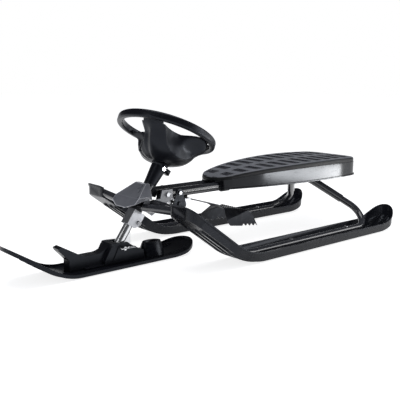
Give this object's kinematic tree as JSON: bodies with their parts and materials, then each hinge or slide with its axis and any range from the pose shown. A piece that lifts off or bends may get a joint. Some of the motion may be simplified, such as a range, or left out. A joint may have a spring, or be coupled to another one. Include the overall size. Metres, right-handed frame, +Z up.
{
  "type": "steering sled",
  "caption": "Sled with a bent tube frame on rear skis, a long ribbed seat, a steering wheel turning a pitching front ski, and a toothed foot brake.",
  "frame": {"origin": "on the ground under the middle of the sled's overall box", "axes": "+X forward along the skis, +Y to the rider's left, +Z up"},
  "size_m": [1.28, 0.495, 0.4148],
  "materials": {
    "moulded_black": "glossy moulded plastic with fine scuffs",
    "seat_top": "matt grained plastic",
    "cover_grey": "satin dark grey plastic",
    "inner_plastic": "plain black plastic",
    "frame_paint": "dark grey gloss powder coat",
    "plated_steel": "bright zinc plate",
    "stop_rubber": "matt rubber"
  },
  "bodies": {
    "frame": {"left_rear_ski": "moulded_black", "right_rear_ski": "moulded_black", "left_top_tube": "frame_paint", "right_top_tube": "frame_paint", "left_runner_tube": "frame_paint", "right_runner_tube": "frame_paint", "left_front_arm": "frame_paint", "right_front_arm": "frame_paint", "left_head_plate": "frame_paint", "right_head_plate": "frame_paint", "left_brake_lug": "frame_paint", "right_brake_lug": "frame_paint", "steering_head": "frame_paint", "upper_bush": "inner_plastic", "lower_bush": "inner_plastic", "head_cover": "cover_grey", "seat_shell": "moulded_black", "seat_pad": "seat_top", "front_saddle": "inner_plastic", "rear_saddle": "inner_plastic", "brake_pin": "plated_steel", "frame_bolts": "plated_steel", "ski_screws": "plated_steel"},
    "steering": {"steering_column": "plated_steel", "fork_bracket": "plated_steel", "bracket_bolt": "plated_steel", "pitch_stop": "plated_steel", "steering_wheel": "moulded_black", "wheel_screw": "plated_steel"},
    "front_ski": {"front_ski": "moulded_black", "ski_socket": "moulded_black", "ski_pin": "plated_steel", "pin_clip": "plated_steel"},
    "brake": {"brake_yoke": "plated_steel", "brake_pedal": "frame_paint", "brake_bumper": "stop_rubber", "brake_spring": "plated_steel"}
  },
  "joints": [
    {"name": "steering_turn", "type": "hinge", "parent": "frame", "child": "steering", "pos_m": [0.23072, 0, 0.17162], "axis": [-0.5707, 0, 0.8211], "range_deg": [-25, 25]},
    {"name": "ski_pitch", "type": "hinge", "parent": "steering", "child": "front_ski", "pos_m": [0.31576, 0, 0.04927], "axis": [0, 1, 0], "range_deg": [-12, 12]},
    {"name": "brake_press", "type": "hinge", "parent": "frame", "child": "brake", "pos_m": [0.134, 0, 0.148], "axis": [0, -1, 0], "range_deg": [0, 18], "stiffness_Nm_per_rad": 4, "springref_deg": -45.84}
  ]
}
